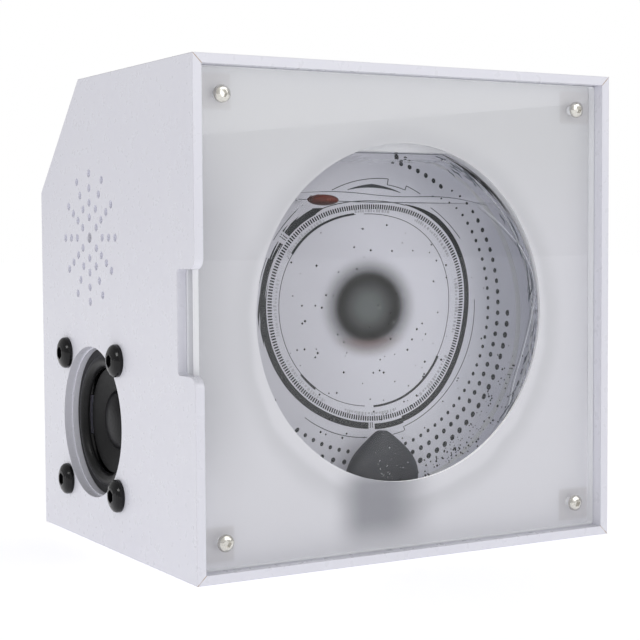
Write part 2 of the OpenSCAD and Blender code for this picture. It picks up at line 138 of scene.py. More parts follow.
def math_node(tree, operation, *values):
    return add(tree, "Math", list(values), operation=operation).outputs[0]


def new_material(name):
    """An empty material, its node tree and its object-space coordinates."""
    made = bpy.data.materials.new(name)
    made.use_nodes = True
    tree = made.node_tree
    tree.nodes.clear()
    place = add(tree, "TexCoord").outputs["Object"]
    return made, tree, place


def film(tree, place, ior, strength, rough, last_y):
    """A clear shader that reflects, by Fresnel, on outer faces no deeper than last_y.

    The flat normal keeps large flat faces free of ripples.
    """
    geometry = add(tree, "NewGeometry").outputs
    amount = add(tree, "Fresnel", {"IOR": ior, "Normal": geometry["True Normal"]}).outputs[0]
    front = math_node(tree, "LESS_THAN", split(tree, place)[1], last_y)
    outside = math_node(tree, "MULTIPLY", front, math_node(
        tree, "SUBTRACT", strength, math_node(tree, "MULTIPLY", geometry["Backfacing"], strength)))
    clear = add(tree, "BsdfTransparent", {"Color": srgb(253, 253, 253)})
    gloss = add(tree, "BsdfGlossy", {"Color": WHITE, "Roughness": rough,
                                     "Normal": geometry["True Normal"]})
    return add(tree, "MixShader", [math_node(tree, "MULTIPLY", amount, outside),
                                   clear.outputs[0], gloss.outputs[0]]).outputs[0]


def cut_edge(tree):
    """1 on the edges of a sheet that faces the front, and 0 on its faces."""
    normal = add(tree, "NewGeometry").outputs["True Normal"]
    facing = add(tree, "SeparateXYZ", [normal]).outputs[1]
    return math_node(tree, "LESS_THAN", math_node(tree, "ABSOLUTE", facing), 0.5)


def finish_material(tree, shader):
    out = add(tree, "OutputMaterial")
    tree.links.new(shader, out.inputs["Surface"])


def noise(tree, place, size_mm, detail=3.0, stretch=(1, 1, 1)):
    """Noise from 0 to 1 with features of about size_mm."""
    vector = add(tree, "Mapping", {"Vector": place, "Scale": stretch}).outputs[0]
    return add(tree, "TexNoise", {"Vector": vector, "Scale": 1 / (size_mm * MM),
                                  "Detail": detail}).outputs["Fac"]


def between(tree, value, low, high, to_low, to_high):
    """Smooth change from to_low to to_high as value goes from low to high."""
    node = add(tree, "MapRange", interpolation_type="SMOOTHSTEP")
    for socket, v in zip(node.inputs, (value, low, high, to_low, to_high)):
        set_input(tree, socket, v)
    return node.outputs[0]


def blend_colour(tree, factor, a, b, how="MIX"):
    node = add(tree, "Mix", data_type="RGBA", blend_type=how)
    set_input(tree, node.inputs[0], factor)
    set_input(tree, node.inputs[6], a)
    set_input(tree, node.inputs[7], b)
    return node.outputs[2]


def bumped(tree, height, strength, distance_mm, bevel_mm=0.0):
    """A normal with a bump, over edges rounded by bevel_mm."""
    inputs = {"Height": height, "Strength": strength, "Distance": distance_mm * MM}
    if bevel_mm:
        inputs["Normal"] = add(tree, "Bevel", {"Radius": bevel_mm * MM}, samples=4).outputs[0]
    return add(tree, "Bump", inputs).outputs[0]


def surface(name, light, dark, rough, grain_mm, bump=0.1, bump_mm=0.02, bevel_mm=0.15,
            stretch=(1, 1, 1), paint=None, **principled):
    """A principled finish: two tones and a roughness that vary with a grain, and a bump.

    rough is a pair, lowest and highest. paint(tree, place, colour) may add to the colour.
    """
    made, tree, place = new_material(name)
    grain = noise(tree, place, grain_mm, stretch=stretch)
    patches = noise(tree, place, grain_mm * 12, detail=2.0)
    tone = math_node(tree, "MULTIPLY_ADD", grain, 0.5, math_node(tree, "MULTIPLY", patches, 0.5))
    colour = blend_colour(tree, between(tree, tone, 0.3, 0.7, 0.0, 1.0), light, dark)
    if paint:
        colour = paint(tree, place, colour)
    inputs = {"Base Color": colour, "Roughness": between(tree, grain, 0.3, 0.7, *rough),
              "Normal": bumped(tree, grain, bump, bump_mm, bevel_mm)}
    inputs.update(principled)
    finish_material(tree, add(tree, "BsdfPrincipled", inputs).outputs[0])
    return made


def split(tree, place):
    """The x, y and z of a place, in millimetres of the cabinet's own frame."""
    parts = add(tree, "SeparateXYZ", [place]).outputs
    origin = cab(0, 0, 0)
    return [math_node(tree, "MULTIPLY", math_node(tree, "SUBTRACT", part, start), 1 / MM)
            for part, start in zip(parts, origin)]


def distance(tree, a, b, centre_a, centre_b):
    """Distance of the point (a, b) from a centre."""
    da = math_node(tree, "SUBTRACT", a, centre_a)
    db = math_node(tree, "SUBTRACT", b, centre_b)
    squares = math_node(tree, "ADD", math_node(tree, "MULTIPLY", da, da),
                        math_node(tree, "MULTIPLY", db, db))
    return math_node(tree, "SQRT", squares)


def glued_seams(tree, place, colour):
    """A thin line of yellowed glue on the mitres of the cabinet's front edge."""
    x, y, z = split(tree, place)
    across = math_node(tree, "ABSOLUTE", x)
    up = math_node(tree, "ABSOLUTE", math_node(tree, "SUBTRACT", z, MID_Z))
    off = math_node(tree, "ABSOLUTE", math_node(tree, "SUBTRACT", across, up))
    line = math_node(tree, "MULTIPLY", between(tree, off, 0.05, 0.3, 1.0, 0.0),
                     between(tree, y, 0.2, 0.6, 1.0, 0.0))
    uneven = between(tree, noise(tree, place, 1.5), 0.3, 0.6, 0.35, 1.0)
    return blend_colour(tree, math_node(tree, "MULTIPLY", line, uneven), colour,
                        srgb(176, 150, 122))


def white_acrylic():
    return surface("white_acrylic", srgb(226, 226, 234), srgb(224, 224, 233), (0.27, 0.31), 3.0,
                   bump=0.01, bump_mm=0.01, bevel_mm=0.2, paint=glued_seams)


def milky_acrylic():
    # The emission is painted light: a glow in place of the light that passes through the sheet.
    return surface("milky_acrylic", srgb(214, 215, 219), srgb(208, 209, 213), (0.3, 0.42), 0.8,
                   bump=0.08, **{"Emission Color": srgb(214, 215, 220), "Emission Strength": 0.22})


def block_shade(tree, x, z):
    """1 over the corner blocks that stand close behind the mask, with soft edges."""
    across = math_node(tree, "ABSOLUTE", x)
    up = math_node(tree, "ABSOLUTE", math_node(tree, "SUBTRACT", z, MID_Z))
    shade = between(tree, across, BLOCK_X - 0.7, BLOCK_X + 0.7, 0.0, 1.0)
    for low, high in ((BLOCK_Z[0] - 0.8, BLOCK_Z[0] + 0.8), (BLOCK_Z[1] + 0.8, BLOCK_Z[1] - 0.8)):
        shade = math_node(tree, "MULTIPLY", shade, between(tree, up, low, high, 0.0, 1.0))
    return shade


def frosted_mask():
    """A frosted sheet. What stands close behind it shades it softly: this shade is painted into
    its colour, as are lighter and darker parts from how light falls on it.
    """
    made, tree, place = new_material("frosted_mask")
    x, _, z = split(tree, place)
    r = distance(tree, x, z, 0.0, FLASK_Z)
    wobble = math_node(tree, "MULTIPLY", noise(tree, place, 14, detail=1.0), 3.0)
    soft = math_node(tree, "ADD", r, wobble)
    # Painted shade in a soft dark ring along the flask's outline, and painted light inside the
    # ring.
    rim = math_node(tree, "MULTIPLY", between(tree, soft, 58.0, 60.8, 0.0, 1.0),
                    between(tree, soft, 61.0, 68.0, 1.0, 0.0))
    inside = between(tree, soft, 56.5, 60.5, 1.0, 0.0)
    # Painted shadow of the flask's neck and cap, below the window.
    neck = math_node(tree, "MULTIPLY", between(tree, x, -30.0, -16.0, 0.0, 1.0),
                     between(tree, x, -8.0, 15.0, 1.0, 0.0))
    neck = math_node(tree, "MULTIPLY", neck, between(tree, z, 1.0, 14.0, 0.0, 1.0))
    neck = math_node(tree, "MULTIPLY", neck, between(tree, z, 24.0, 32.0, 1.0, 0.0))
    # Painted light and shade: darker towards the top and to the left.
    upper = between(tree, z, 90.0, 150.0, 0.0, 1.0)
    left = math_node(tree, "MULTIPLY", between(tree, x, -78.0, -50.0, 1.0, 0.0), between(
        tree, math_node(tree, "ABSOLUTE", math_node(tree, "SUBTRACT", z, MID_Z)),
        25.0, 66.0, 1.0, 0.0))
    colour = blend_colour(tree, upper, srgb(232, 232, 238), srgb(224, 225, 228))
    colour = blend_colour(tree, math_node(tree, "MULTIPLY", left, 0.75), colour,
                          srgb(196, 197, 202))
    colour = blend_colour(tree, math_node(tree, "MULTIPLY", inside, 0.35), colour,
                          srgb(238, 238, 243))
    colour = blend_colour(tree, math_node(tree, "MULTIPLY", rim, 0.5), colour,
                          srgb(206, 207, 212))
    colour = blend_colour(tree, math_node(tree, "MULTIPLY", neck, 0.9), colour,
                          srgb(140, 141, 150))
    # Painted shade of the corner blocks behind the sheet.
    colour = blend_colour(tree, math_node(tree, "MULTIPLY", block_shade(tree, x, z), 0.5),
                          colour, srgb(204, 201, 202))
    fine = noise(tree, place, 0.35)
    colour = blend_colour(tree, math_node(tree, "MULTIPLY", fine, 0.12), colour,
                          srgb(212, 212, 216))
    sheet = add(tree, "BsdfPrincipled", {
        "Base Color": colour, "Roughness": 0.55, "Normal": bumped(tree, fine, 0.12, 0.02)})
    clear = add(tree, "BsdfTransparent", {"Color": WHITE})
    mixed = add(tree, "MixShader", [0.14, sheet.outputs[0], clear.outputs[0]])
    # Cut edges glow, most near the bottom: a painted bright line.
    cut = add(tree, "BsdfPrincipled", {
        "Base Color": srgb(240, 240, 244), "Roughness": 0.5,
        "Emission Color": WHITE, "Emission Strength": between(tree, z, 25, 60, 0.5, 0.02)})
    finish_material(tree, add(tree, "MixShader", [
        cut_edge(tree), mixed.outputs[0], cut.outputs[0]]).outputs[0])
    return made


def clear_acrylic():
    """Polished faces that reflect, and sawn edges that look milky and glow faintly with painted
    light.
    """
    made, tree, place = new_material("clear_acrylic")
    smears = noise(tree, place, 18, detail=4.0)
    face = film(tree, place, 1.49, 0.75, between(tree, smears, 0.4, 0.8, 0.01, 0.06), MASK_Y - 1)
    sawn = add(tree, "BsdfPrincipled", {
        "Base Color": srgb(226, 227, 230), "Roughness": 0.4,
        "Emission Color": srgb(226, 227, 232), "Emission Strength": 0.1,
        "Normal": bumped(tree, noise(tree, place, 0.4, stretch=(1, 0.1, 1)), 0.3, 0.03)})
    finish_material(tree, add(tree, "MixShader", [
        cut_edge(tree), face, sawn.outputs[0]]).outputs[0])
    return made


def flask_glass():
    """Clear glass, at a low index so that the print behind it stays readable."""
    made, tree, place = new_material("flask_glass")
    x, _, z = split(tree, place)
    ripple = noise(tree, place, 9, detail=1.0)
    shade_mottle = between(tree, noise(tree, place, 7, stretch=(1, 1, 0.35)), 0.3, 0.7, 0.6, 1.0)
    # Painted shade: the glass is tinted grey above the liquid's level and towards the right, in
    # patches.
    above = math_node(tree, "MULTIPLY", between(tree, z, LEVEL_Z, LEVEL_Z + 3, 0.0, 1.0),
                      between(tree, x, -20.0, 30.0, 0.0, 0.35))
    right = math_node(tree, "ADD", between(tree, x, 22.0, 40.0, 0.0, 0.3),
                      between(tree, x, 43.0, 50.0, 0.0, 0.2))
    painted_shade = math_node(tree, "MULTIPLY", math_node(tree, "MAXIMUM", above, right), shade_mottle)
    tint = blend_colour(tree, painted_shade, WHITE, srgb(241, 242, 244))
    glass = add(tree, "BsdfGlass", {"Color": tint, "Roughness": 0.0, "IOR": 1.14,
                                    "Normal": bumped(tree, ripple, 0.2, 0.3)})
    clear = add(tree, "BsdfTransparent", {"Color": srgb(252, 252, 252)})
    shadow = add(tree, "LightPath").outputs["Is Shadow Ray"]
    finish_material(tree, add(tree, "MixShader", [
        shadow, glass.outputs[0], clear.outputs[0]]).outputs[0])
    return made


def clear_liquid():
    """Carrier liquid, with patches of painted shade just below its surface."""
    made, tree, place = new_material("clear_liquid")
    z = split(tree, place)[2]
    top = between(tree, z, LEVEL_Z - 1.2, LEVEL_Z, 0.0, 1.0)
    patches = between(tree, noise(tree, place, 4), 0.4, 0.8, 0.0, 0.3)
    surface_shade = math_node(tree, "MULTIPLY", patches, top)
    shade_clear = add(tree, "BsdfTransparent", {"Color": srgb(200, 203, 208)})
    face = film(tree, place, 1.2, 0.3, 0.02, FLASK_Y + FLASK_T / 2)
    finish_material(tree, add(tree, "MixShader", [surface_shade, face, shade_clear.outputs[0]]).outputs[0])
    return made


def ferrofluid():
    return surface("ferrofluid", srgb(44, 47, 56), srgb(38, 41, 50), (0.5, 0.6), 3.0,
                   bump=0.1, bevel_mm=0.0)


def droplet():
    """A stray drop of the magnetic liquid: rusty where it is thin, black at its rim."""
    def rim(tree, place, colour):
        x, _, z = split(tree, place)
        low = between(tree, z, 115.6, 117.4, 1.0, 0.0)
        side = between(tree, math_node(tree, "ABSOLUTE", math_node(tree, "SUBTRACT", x, DROP[0])),
                       3.6, 5.4, 0.0, 1.0)
        return blend_colour(tree, math_node(tree, "MAXIMUM", low, side), colour, srgb(22, 16, 18))

    # The drop glows a little: painted light.
    return surface("droplet", srgb(112, 42, 26), srgb(60, 24, 17), (0.3, 0.45), 0.5,
                   bump=0.3, bevel_mm=0.0, stretch=(1, 1, 2.5), paint=rim,
                   **{"Specular IOR Level": 0.25, "Emission Color": srgb(112, 42, 26),
                      "Emission Strength": 0.12})


def printed_plate():
    """A white diffuser with a painted glow in place of light from behind. The magnet behind it
    shows as a painted shadow: a dark disc in a soft halo.
    """
    made, tree, place = new_material("printed_plate")
    x, _, z = split(tree, place)
    rise = math_node(tree, "MULTIPLY", math_node(tree, "SUBTRACT", z, CORE[1]), 1.1)
    r = distance(tree, x, rise, CORE[0], 0.0)
    halo = between(tree, r, 10.0, 20.5, 1.0, 0.0)
    disc = between(tree, r, 11.2, 14.0, 1.0, 0.0)
    middle = between(tree, r, 2.0, 11.6, 1.0, 0.0)
    fine = noise(tree, place, 0.8)
    paper = blend_colour(tree, fine, srgb(200, 200, 209), srgb(195, 196, 205))
    # Painted shade: darker to the left and a little towards the top.
    dim = math_node(tree, "MAXIMUM", between(tree, x, -32.0, 12.0, 0.6, 0.0),
                    between(tree, z, 90.0, 112.0, 0.0, 0.1))
    paper = blend_colour(tree, dim, paper, srgb(172, 172, 180))
    colour = blend_colour(tree, halo, paper, srgb(62, 64, 67))
    # Browner in the lower part of the painted halo.
    rusty = math_node(tree, "MULTIPLY", halo, between(tree, rise, -13.5, -10.0, 0.7, 0.0))
    colour = blend_colour(tree, rusty, colour, srgb(120, 92, 88))
    colour = blend_colour(tree, disc, colour, srgb(16, 17, 18))
    colour = blend_colour(tree, math_node(tree, "MULTIPLY", disc, middle), colour,
                          srgb(100, 105, 106))
    # The painted glow is weaker inside the painted halo.
    painted_glow = math_node(tree, "MULTIPLY_ADD", halo, -0.24, 0.26)
    shader = add(tree, "BsdfPrincipled", {
        "Base Color": colour, "Roughness": 0.6, "Specular IOR Level": 0.1,
        "Emission Color": colour, "Emission Strength": painted_glow,
        "Normal": bumped(tree, fine, 0.05, 0.02)})
    finish_material(tree, shader.outputs[0])
    return made


def ink(name, light, dark, painted_glow=0.2):
    # The inks glow a little: painted light.
    return surface(name, light, dark, (0.5, 0.7), 0.5, bump=0.1, bump_mm=0.01, bevel_mm=0.0,
                   **{"Emission Color": light, "Emission Strength": painted_glow,
                      "Specular IOR Level": 0.1})


def nickel_steel():
    return surface("nickel_steel", srgb(222, 220, 214), srgb(196, 193, 186), (0.12, 0.26), 0.5,
                   bump=0.15, bevel_mm=0.1, Metallic=1.0)


def zinc_steel():
    return surface("zinc_steel", srgb(150, 150, 156), srgb(118, 118, 124), (0.3, 0.45), 1.5,
                   bump=0.2, Metallic=1.0)


def brass():
    return surface("brass", srgb(214, 178, 98), srgb(190, 150, 72), (0.2, 0.34), 0.6,
                   stretch=(1, 6, 1), Metallic=1.0)


def aluminium():
    return surface("aluminium", srgb(206, 207, 212), srgb(184, 185, 190), (0.28, 0.42), 0.3,
                   stretch=(0.05, 1, 1), Metallic=1.0)


def copper_wire():
    """Enamelled windings, one ridge for each turn."""
    made, tree, place = new_material("copper_wire")
    turns = add(tree, "TexWave", {"Vector": place, "Scale": 1000.0, "Distortion": 0.4},
                bands_direction="DIAGONAL").outputs["Fac"]
    colour = blend_colour(tree, turns, srgb(146, 78, 40), srgb(206, 124, 70))
    finish_material(tree, add(tree, "BsdfPrincipled", {
        "Base Color": colour, "Metallic": 0.8, "Roughness": 0.32,
        "Normal": bumped(tree, turns, 0.6, 0.08)}).outputs[0])
    return made


def black_plastic():
    return surface("black_plastic", srgb(30, 30, 33), srgb(20, 20, 23), (0.3, 0.45), 0.35,
                   bump=0.2, bevel_mm=0.2, **{"Specular IOR Level": 0.25})


def black_steel():
    return surface("black_steel", srgb(16, 16, 18), srgb(10, 10, 12), (0.08, 0.16), 0.5,
                   bump=0.04, bevel_mm=0.25, **{"Specular IOR Level": 0.3})


def black_rubber():
    return surface("black_rubber", srgb(20, 20, 21), srgb(13, 13, 14), (0.26, 0.4), 0.3,
                   bump=0.1, bevel_mm=0.1, **{"Specular IOR Level": 0.22})


def cone_paper():
    return surface("cone_paper", srgb(24, 24, 26), srgb(15, 15, 17), (0.32, 0.48), 0.4,
                   bump=0.2, bevel_mm=0.1, **{"Specular IOR Level": 0.25})


def cap_film():
    """The thin pressed dust cap, smoother than the cone."""
    return surface("cap_film", srgb(20, 20, 23), srgb(15, 15, 18), (0.3, 0.36), 1.2,
                   bump=0.03, bevel_mm=0.1, **{"Specular IOR Level": 0.15})


def spider_cloth():
    """Woven cloth stiffened with resin."""
    made, tree, place = new_material("spider_cloth")
    weave = [add(tree, "TexWave", {"Vector": place, "Scale": 700.0}, bands_direction=axis)
             .outputs["Fac"] for axis in ("Y", "Z")]
    both = math_node(tree, "MULTIPLY", *weave)
    colour = blend_colour(tree, both, srgb(120, 98, 58), srgb(176, 148, 96))
    finish_material(tree, add(tree, "BsdfPrincipled", {
        "Base Color": colour, "Roughness": 0.75,
        "Normal": bumped(tree, both, 0.5, 0.08)}).outputs[0])
    return made


def felt():
    # The emission is painted light: a glow in place of light that comes through the walls around
    # it.
    return surface("felt", srgb(226, 226, 230), srgb(208, 208, 213), (0.85, 0.95), 0.25,
                   bump=0.6, bump_mm=0.15, bevel_mm=0.2,
                   **{"Emission Color": srgb(214, 214, 222), "Emission Strength": 0.85})


def circuit_board():
    """White solder mask with copper tracks under it and tinned pads."""
    def tracks(tree, place, colour):
        cells = add(tree, "TexBrick", {"Vector": place, "Scale": 320.0, "Mortar Size": 0.03},
                    offset=0.37).outputs["Fac"]
        return blend_colour(tree, math_node(tree, "MULTIPLY", cells, 0.5), colour,
                            srgb(170, 186, 172))

    return surface("circuit_board", srgb(222, 224, 220), srgb(210, 213, 208), (0.3, 0.4), 0.8,
                   paint=tracks)


def led_plastic():
    return surface("led_plastic", srgb(246, 242, 214), srgb(238, 230, 190), (0.4, 0.5), 0.6,
                   **{"Emission Color": srgb(255, 250, 240), "Emission Strength": 0.6})


def battery_wrap():
    """Shrink wrap with faint creases round the cell."""
    return surface("battery_wrap", srgb(74, 116, 168), srgb(58, 98, 150), (0.22, 0.34), 2.0,
                   bump=0.3, bump_mm=0.05, stretch=(0.3, 1, 1))


def white_plastic():
    return surface("white_plastic", srgb(226, 226, 230), srgb(218, 218, 223), (0.35, 0.45), 0.4,
                   bump=0.2, bevel_mm=0.3)


finishes = {make.__name__: make() for make in (
    white_acrylic, milky_acrylic, frosted_mask, clear_acrylic, nickel_steel, flask_glass,
    clear_liquid, ferrofluid, black_plastic, printed_plate, circuit_board, led_plastic,
    brass, zinc_steel, copper_wire, aluminium, black_steel, black_rubber, spider_cloth,
    cone_paper, felt, battery_wrap, white_plastic, cap_film)}
finishes["print_plate"] = finishes.pop("printed_plate")
# Nodes whose look differs from their slot's
special = {"left_dust_cap": "cap_film", "right_dust_cap": "cap_film"}

for part in frame["record"]["subparts"]:
    node = nodes[part["node"]]
    node.data.materials.clear()
    node.data.materials.append(finishes[special.get(part["node"], part["material_slot"])])


# ---------------------------------------------------------------------------------------
# Making pieces
# ---------------------------------------------------------------------------------------


def place_piece(obj, material, body="cabinet"):
    """Links a new piece and makes it ride on its body."""
    scene.collection.objects.link(obj)
    obj.data.materials.append(material)
    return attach(obj, body)


def mesh_piece(name, verts, faces, material, smooth=False, body="cabinet"):
    mesh = bpy.data.meshes.new(name)
    mesh.from_pydata(verts, [], faces)
    mesh.update()
    if smooth:
        mesh.polygons.foreach_set("use_smooth", [True] * len(mesh.polygons))
    return place_piece(bpy.data.objects.new(name, mesh), material, body)


def wire(name, runs, radius_mm, material):
    """Thin round lines through the points of each run, thinner towards their ends."""
    curve = bpy.data.curves.new(name, "CURVE")
    curve.dimensions = "3D"
    curve.bevel_depth = radius_mm * MM
    curve.bevel_resolution = 2
    curve.resolution_u = 6
    curve.use_fill_caps = True
    for run in runs:
        spline = curve.splines.new("BEZIER")
        spline.bezier_points.add(len(run) - 1)
        for i, (point, place) in enumerate(zip(spline.bezier_points, run)):
            point.co = cab(*place)
            point.handle_left_type = point.handle_right_type = "AUTO"
            point.radius = 0.4 if i in (0, len(run) - 1) else 1.0
    return place_piece(bpy.data.objects.new(name, curve), material)


class Print:
    """Flat printed shapes on the plate's front face, gathered into one closed mesh."""

    THICK = 0.06

    def __init__(self):
        self.verts, self.faces = [], []

    def strip(self, inner, outer):
        """A ribbon between two rows of as many (x, z) points."""
        first = len(self.verts)
        for (x0, z0), (x1, z1) in zip(inner, outer):
            for x, z, y in ((x0, z0, self.THICK), (x1, z1, self.THICK), (x1, z1, 0), (x0, z0, 0)):
                self.verts.append(cab(x, PLATE_Y - y, z))
        steps = len(inner)
        for i in range(steps - 1):
            a = first + 4 * i
            for k in range(4):
                n = (k + 1) % 4
                self.faces.append((a + k, a + n, a + 4 + n, a + 4 + k))
        end = first + 4 * (steps - 1)
        self.faces.append((first, first + 1, first + 2, first + 3)[::-1])
        self.faces.append((end, end + 1, end + 2, end + 3))

    def dot(self, x, z, wide, high, turn=0.0, sides=14):
        """An ellipse with its long way turned by an angle in degrees."""
        c, s = math.cos(math.radians(turn)), math.sin(math.radians(turn))
        first = len(self.verts)
        for y in (self.THICK, 0):
            for i in range(sides):
                a = math.tau * i / sides
                u, v = wide / 2 * math.cos(a), high / 2 * math.sin(a)
                self.verts.append(cab(x + u * c - v * s, PLATE_Y - y, z + u * s + v * c))
        ring = range(sides)
        self.faces.append(tuple(first + i for i in ring))
        self.faces.append(tuple(first + sides + i for i in reversed(ring)))
        for i in ring:
            n = (i + 1) % sides
            self.faces.append((first + n, first + i, first + sides + i, first + sides + n))

    def piece(self, name, material):
        return mesh_piece(name, self.verts, self.faces, material)


# ---------------------------------------------------------------------------------------
# The print on the plate: a dial about the window's middle, as the flask bends it
# ---------------------------------------------------------------------------------------

DIAL = (0.6, 80.0)
# Middle of the outer lines and of the rows of dots
ROWS = (0.0, 79.5)
# How far the dial is from round: cosine and sine parts for 2, 3 and 4 lobes
SQUARE = ((1.05, -0.1), (-0.5, 0.9), (-0.5, 0.2))


def dial(angle, r, squared=1.0, centre=DIAL):
    """The point at an angle, in degrees from +x towards +z, on a dial line of radius r."""
    a = math.radians(angle)
    for lobes, (c, s) in enumerate(SQUARE, 2):
        r += squared * (c * math.cos(lobes * a) + s * math.sin(lobes * a))
    return centre[0] + r * math.cos(a), centre[1] + r * math.sin(a)


def spread(start, end, step=1.5):
    """Angles from start to end, both included, about step apart."""
    count = max(1, round(abs(end - start) / step))
    return [start + (end - start) * i / count for i in range(count + 1)]


def arc(target, start, end, r, thick, squared=1.0, centre=DIAL):
    """A ribbon on the dial. r and thick may each be a pair, for its start and end."""
    r0, r1 = r if isinstance(r, tuple) else (r, r)
    t0, t1 = thick if isinstance(thick, tuple) else (thick, thick)
    inner, outer = [], []
    angles = spread(start, end)
    for i, angle in enumerate(angles):
        f = i / (len(angles) - 1)
        middle, half = r0 + (r1 - r0) * f, (t0 + (t1 - t0) * f) / 2
        inner.append(dial(angle, middle - half, squared, centre))
        outer.append(dial(angle, middle + half, squared, centre))
    if end < start:
        inner, outer = outer, inner
    target.strip(inner, outer)


def print_band():
    """The broken thick ring."""
    band = Print()
    arc(band, 141, 123, 40.1, (2.2, 2.3))
    arc(band, 123, 118, (40.3, 39.9), (2.3, 0.3))
    arc(band, 118, 68, (39.9, 39.6), 0.28)
    arc(band, 68, 50, (39.8, 40.3), (0.3, 1.8))
    arc(band, 50, -71, (40.3, 40.0), (1.8, 2.1))
    arc(band, -71, -87.4, 40.5, 2.0)
    arc(band, -91, -205, 40.2, (2.2, 2.4))
    for angle in (-88.6, -89.8, 142.6, 143.8):
        arc(band, angle, angle - 0.4, 40.0, 2.0)
    arc(band, -205, -214, 39.7, 1.3)
    band.piece("print_band", ink("ink_band", srgb(52, 54, 57), srgb(38, 40, 43)))


def print_ticks():
    """The fine scale just inside the band."""
    ticks = Print()
    count = 252
    for i in range(count):
        a = 360 * i / count
        ends = [[dial(a + side, r) for side in (-0.37, 0.37)] for r in (36.9, 38.5)]
        ticks.strip(*ends)
    ticks.piece("print_ticks", ink("ink_ticks", srgb(28, 30, 33), srgb(20, 22, 25)))


def print_marks():
    """Groups of plain dashes between the scale and the inner circle."""
    draw = random.Random(7)
    marks = Print()
    for start, end in ((150, 121), (100, 78), (59, 29), (16, -14), (-28, -57), (-73, -108),
                       (-121, -154), (-168, -198)):
        angle = start
        while angle > end:
            wide = draw.uniform(0.5, 1.5)
            high = draw.choice((0.7, 1.0, 1.3))
            low = dial(angle, 35.4, 0.8), dial(angle - wide, 35.4, 0.8)
            top = dial(angle, 35.4 + high, 0.8), dial(angle - wide, 35.4 + high, 0.8)
            marks.strip(low[::-1], top[::-1])
            angle -= wide + draw.uniform(0.4, 1.2)
    marks.piece("print_marks", ink("ink_marks", srgb(164, 165, 172), srgb(148, 149, 156), 0.3))


def print_inner_circle():
    """The thin inner circle with its thicker stretches."""
    circle = Print()
    centre = (-0.4, 80.6)
    for start, end in ((92, -86), (-92, -262)):
        arc(circle, start, end, 33.7, 0.22, 0.6, centre)
    for start, end in ((147, 99), (-31, -86), (-128, -141)):
        arc(circle, start, end, 33.9, (0.9, 0.7), 0.6, centre)
    circle.piece("print_inner_circle", ink("ink_circle", srgb(58, 60, 64), srgb(44, 46, 50)))


def print_outer_lines():
    """Thin stepped lines outside the band, one of them seen above the liquid."""
    lines = Print()
    thin = 0.26
    plain = {"squared": 0.0, "centre": ROWS}
    for start, end, r in ((146, 125, (43.9, 44.2)), (54, 33, (43.9, 45.5)), (4, -24, (44.5, 43.8)),
                          (-24, -70, (43.8, 42.7)), (-71, -77, (44.1, 43.8)),
                          (-91, -126, (43.0, 42.8)), (109, 80, (43.6, 46.0)),
                          (79.5, 70, (44.0, 44.2)), (70, 62, (45.7, 45.6))):
        arc(lines, start, end, r, thin, **plain)
    for angle, low, high in ((79.7, 43.9, 46.1), (70, 44.1, 45.8), (-70.5, 42.6, 44.2)):
        arc(lines, angle - 0.2, angle + 0.2, (low + high) / 2, high - low, **plain)
    arc(lines, 101, 88, (42.2, 42.9), (0.2, 1.3), **plain)
    arc(lines, 88, 72, (42.9, 42.7), (1.3, 0.2), **plain)
    lines.piece("print_outer_lines", ink("ink_lines", srgb(72, 75, 80), srgb(56, 59, 64)))


def print_dots():
    """Rows of dots that grow outwards, as in a halftone, and flatten near the liquid's level."""
    dots = Print()
    for start, end, r0, r1, size in ((56, -72, 51.8, 48.6, 1.2), (50, -74, 56.2, 52.5, 1.55),
                                     (-2, -72, 59.4, 56.6, 1.9), (-8, -31, 73.2, 75.0, 2.1),
                                     (-100, -126, 48.0, 47.6, 1.3),
                                     (-101, -111, 51.7, 51.8, 1.6), (79, 55, 52.4, 52.5, 1.6)):
        for angle in spread(start, end, 4):
            f = (angle - start) / (end - start)
            r, a = r0 + (r1 - r0) * f, math.radians(angle)
            near_level = 1.0
            if start < 60:
                near_level = min(1.0, max(0.4, (54 - angle) / 20))
                r -= 0.013 * max(0.0, angle - 38) ** 2
            dots.dot(ROWS[0] + r * math.cos(a), ROWS[1] + r * math.sin(a),
                     size * (0.4 + 0.6 * near_level), size * near_level * 1.15, angle * 0.3)
    dots.piece("print_dots", ink("ink_dots", srgb(50, 52, 57), srgb(36, 38, 43)))


for draw_print in (print_band, print_ticks, print_marks, print_inner_circle, print_outer_lines,
                   print_dots):
    draw_print()


# ---------------------------------------------------------------------------------------
# What is in the flask
# ---------------------------------------------------------------------------------------


def blob(name, centre, radii, material, rings=16, sides=28):
    """A closed ellipsoid."""
    verts = [cab(centre[0], centre[1], centre[2] + radii[2])]
    for i in range(1, rings):
        t = math.pi * i / rings
        for k in range(sides):
            a = math.tau * k / sides
            verts.append(cab(centre[0] + radii[0] * math.sin(t) * math.cos(a),
                             centre[1] + radii[1] * math.sin(t) * math.sin(a),
                             centre[2] + radii[2] * math.cos(t)))
    verts.append(cab(centre[0], centre[1], centre[2] - radii[2]))
    faces = []
    for k in range(sides):
        n = (k + 1) % sides
        faces.append((0, 1 + k, 1 + n))
        last = 1 + (rings - 2) * sides
        faces.append((len(verts) - 1, last + n, last + k))
        for i in range(rings - 2):
            a = 1 + i * sides
            faces.append((a + k, a + sides + k, a + sides + n, a + n))
    return mesh_piece(name, verts, faces, material, smooth=True)


